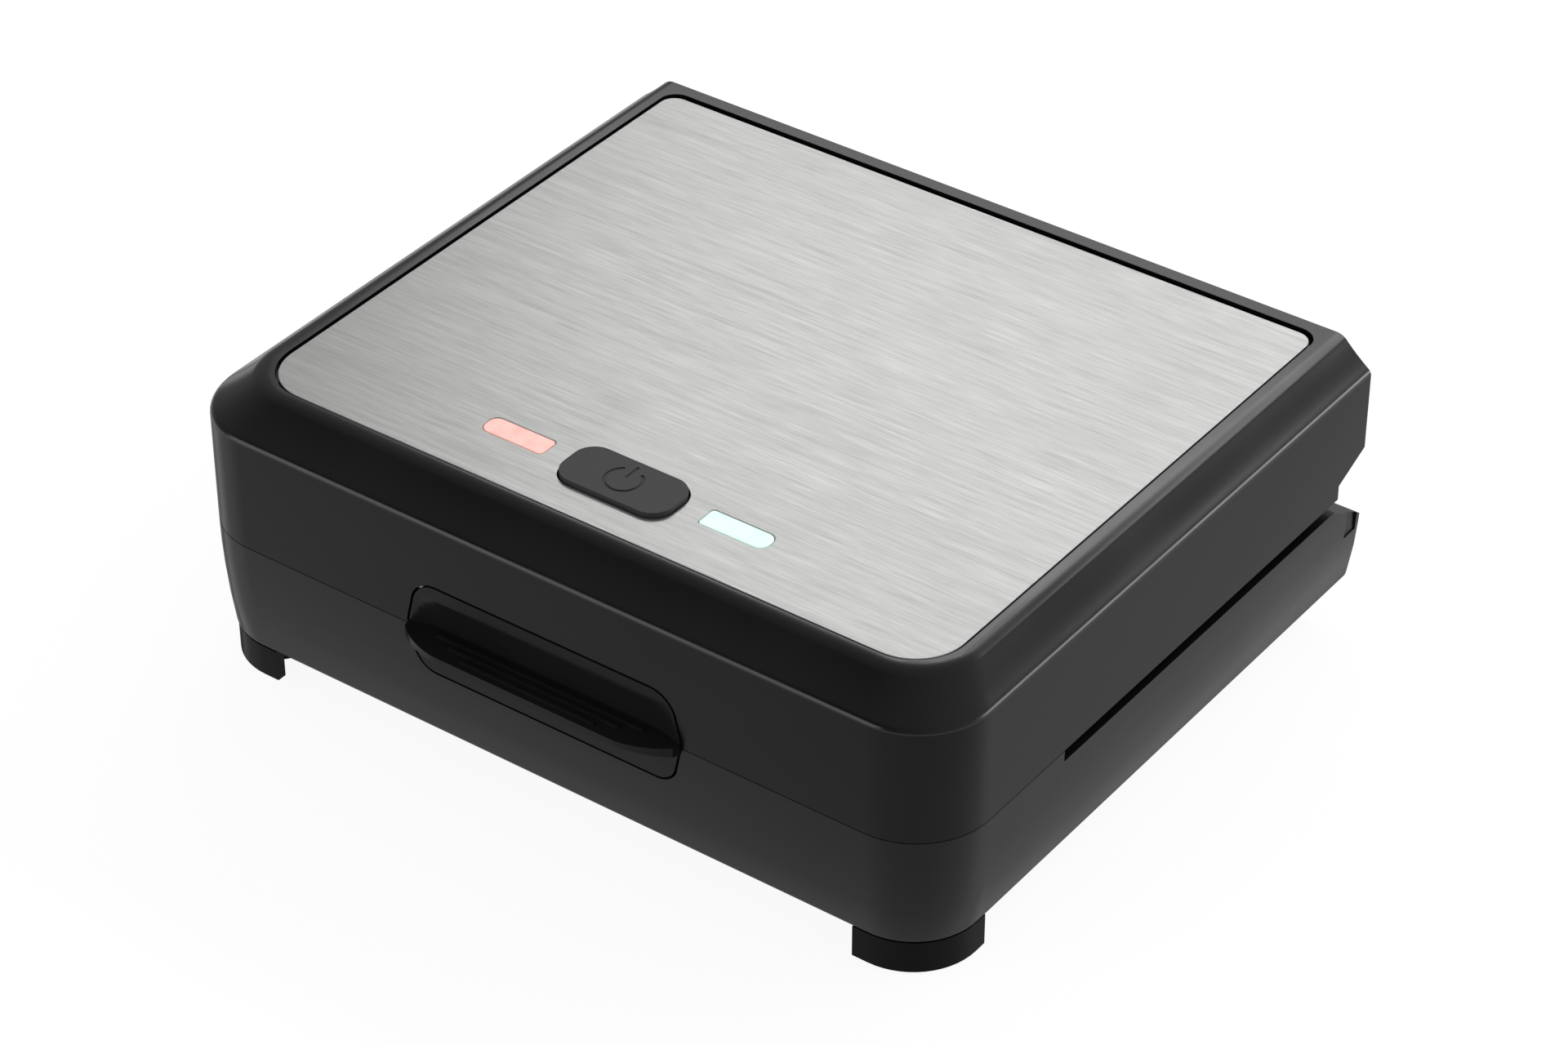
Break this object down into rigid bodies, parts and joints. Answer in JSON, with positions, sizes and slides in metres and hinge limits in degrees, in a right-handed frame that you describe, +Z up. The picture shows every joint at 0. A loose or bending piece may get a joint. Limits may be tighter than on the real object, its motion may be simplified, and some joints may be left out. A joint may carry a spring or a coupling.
{
  "type": "sandwich maker",
  "caption": "Hinged two-slice sandwich maker with brushed steel lid plate, push button, lamp windows, front latch and cooking plates with triangular cells.",
  "frame": {"origin": "centre of the footprint box on the table top, under the pads, with the lid shut", "axes": "+X to the right seen from the front, -Y to the front where the latch is, +Z up"},
  "size_m": [0.252, 0.2196, 0.0914],
  "materials": {
    "black_plastic": "black thermoplastic with a fine satin gloss",
    "brushed_steel": "stainless sheet brushed along X",
    "button_plastic": "dark grey plastic, smooth",
    "red_lens": "translucent red plastic",
    "green_lens": "translucent green plastic",
    "board": "green board laminate",
    "lamp_epoxy": "clear lamp resin",
    "zinc_steel": "zinc-plated steel",
    "spring_steel": "drawn spring steel",
    "frame_plastic": "heat-resistant black plastic",
    "nonstick": "dark non-stick coating on die-cast aluminium",
    "element_steel": "heat-dulled steel tube",
    "shield_aluminium": "plain pressed sheet",
    "rubber": "soft black rubber",
    "ceramic": "pale ceramic",
    "brass": "plain brass"
  },
  "bodies": {
    "base": {"base_shell": "black_plastic", "lower_frame": "frame_plastic", "lower_cooking_plate": "nonstick", "lower_plate_screws": "zinc_steel", "lower_heating_element": "element_steel", "lower_element_clamps": "zinc_steel", "lower_clamp_screws": "zinc_steel", "lower_heat_shield": "shield_aluminium", "lower_shield_screws": "zinc_steel", "hinge_pin_left": "zinc_steel", "hinge_pin_right": "zinc_steel", "bottom_cover": "black_plastic", "base_screws": "zinc_steel", "foot_front_left": "black_plastic", "foot_front_right": "black_plastic", "foot_rear_left": "black_plastic", "foot_rear_right": "black_plastic", "foot_pads": "rubber", "foot_screws": "zinc_steel", "cord_bush": "rubber", "terminal_block": "ceramic", "terminal_screws": "brass", "thermostat": "ceramic", "thermostat_bracket": "zinc_steel", "thermal_fuse": "element_steel", "fuse_clip": "spring_steel"},
    "lid": {"lid_cover": "black_plastic", "steel_top_plate": "brushed_steel", "red_lens": "red_lens", "green_lens": "green_lens", "lamp_board": "board", "signal_lamps": "lamp_epoxy", "push_switch": "black_plastic", "button_spring": "spring_steel", "board_screws": "zinc_steel", "latch_pin": "zinc_steel", "latch_springs": "spring_steel", "upper_frame": "frame_plastic", "upper_cooking_plate": "nonstick", "upper_plate_screws": "zinc_steel", "upper_heating_element": "element_steel", "upper_element_clamps": "zinc_steel", "upper_clamp_screws": "zinc_steel", "upper_heat_shield": "shield_aluminium", "upper_shield_screws": "zinc_steel", "lid_screws": "zinc_steel"},
    "latch": {"latch": "black_plastic"},
    "button": {"power_button": "button_plastic"}
  },
  "joints": [
    {"name": "lid_hinge", "type": "hinge", "parent": "base", "child": "lid", "pos_m": [0, 0.1008, 0.036], "axis": [-1, 0, 0], "range_deg": [0, 100]},
    {"name": "latch_pivot", "type": "hinge", "parent": "lid", "child": "latch", "pos_m": [0, -0.0978, 0.0586], "axis": [-1, 0, 0], "range_deg": [0, 12], "stiffness_Nm_per_rad": 0.15, "springref_deg": -17.19, "deforming": ["latch_springs"]},
    {"name": "button_press", "type": "slide", "parent": "lid", "child": "button", "axis": [0, 0, -1], "range_m": [0, 0.0012], "stiffness_N_per_m": 300, "springref_m": -0.003, "deforming": ["button_spring"]}
  ]
}
